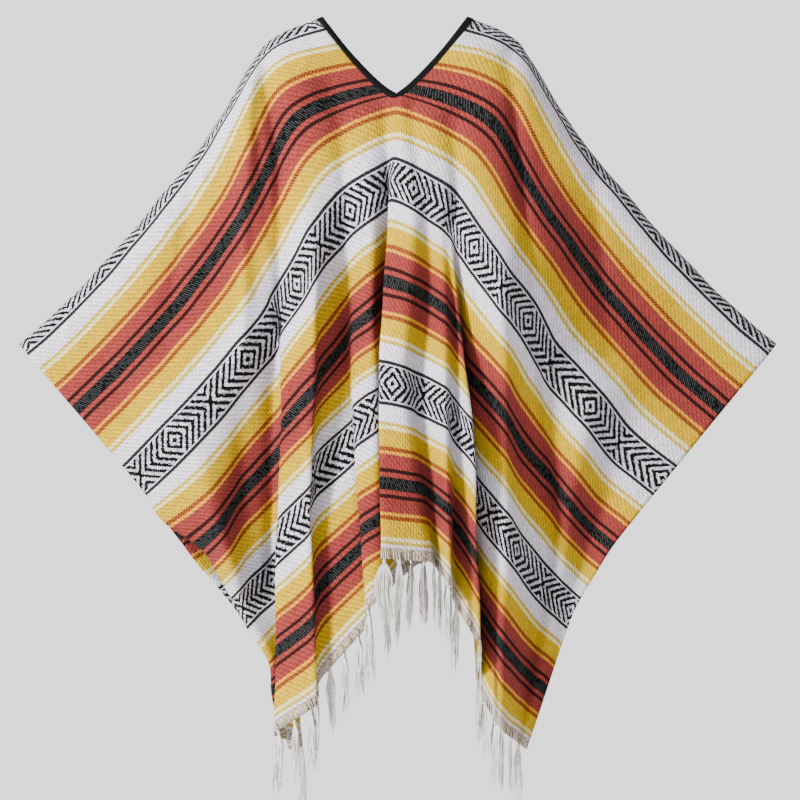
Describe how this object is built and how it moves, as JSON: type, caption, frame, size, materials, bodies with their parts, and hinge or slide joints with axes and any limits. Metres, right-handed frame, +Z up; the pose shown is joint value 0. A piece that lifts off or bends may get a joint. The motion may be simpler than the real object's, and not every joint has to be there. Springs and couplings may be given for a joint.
{
  "type": "woven fringed poncho in worn form",
  "caption": "Striped rectangular cloth folded over the shoulders, with a bound V-shaped neck slit, deep hanging folds front and back, open sides and a fringe along both hems.",
  "frame": {"origin": "midway between the two highest points of the neck opening, where the wearer's shoulders hold the poncho", "axes": "+Z up, the front faces -Y, +X towards the wearer's left arm"},
  "size_m": [1.065, 0.373, 1.1216],
  "materials": {
    "cloth": "woven stripes",
    "binding": "woven tape",
    "fringe": "loose warp yarn"
  },
  "bodies": {
    "root": {"woven_cloth": "cloth", "neck_binding": "binding", "fringe_front": "fringe", "fringe_back": "fringe"}
  },
  "joints": []
}
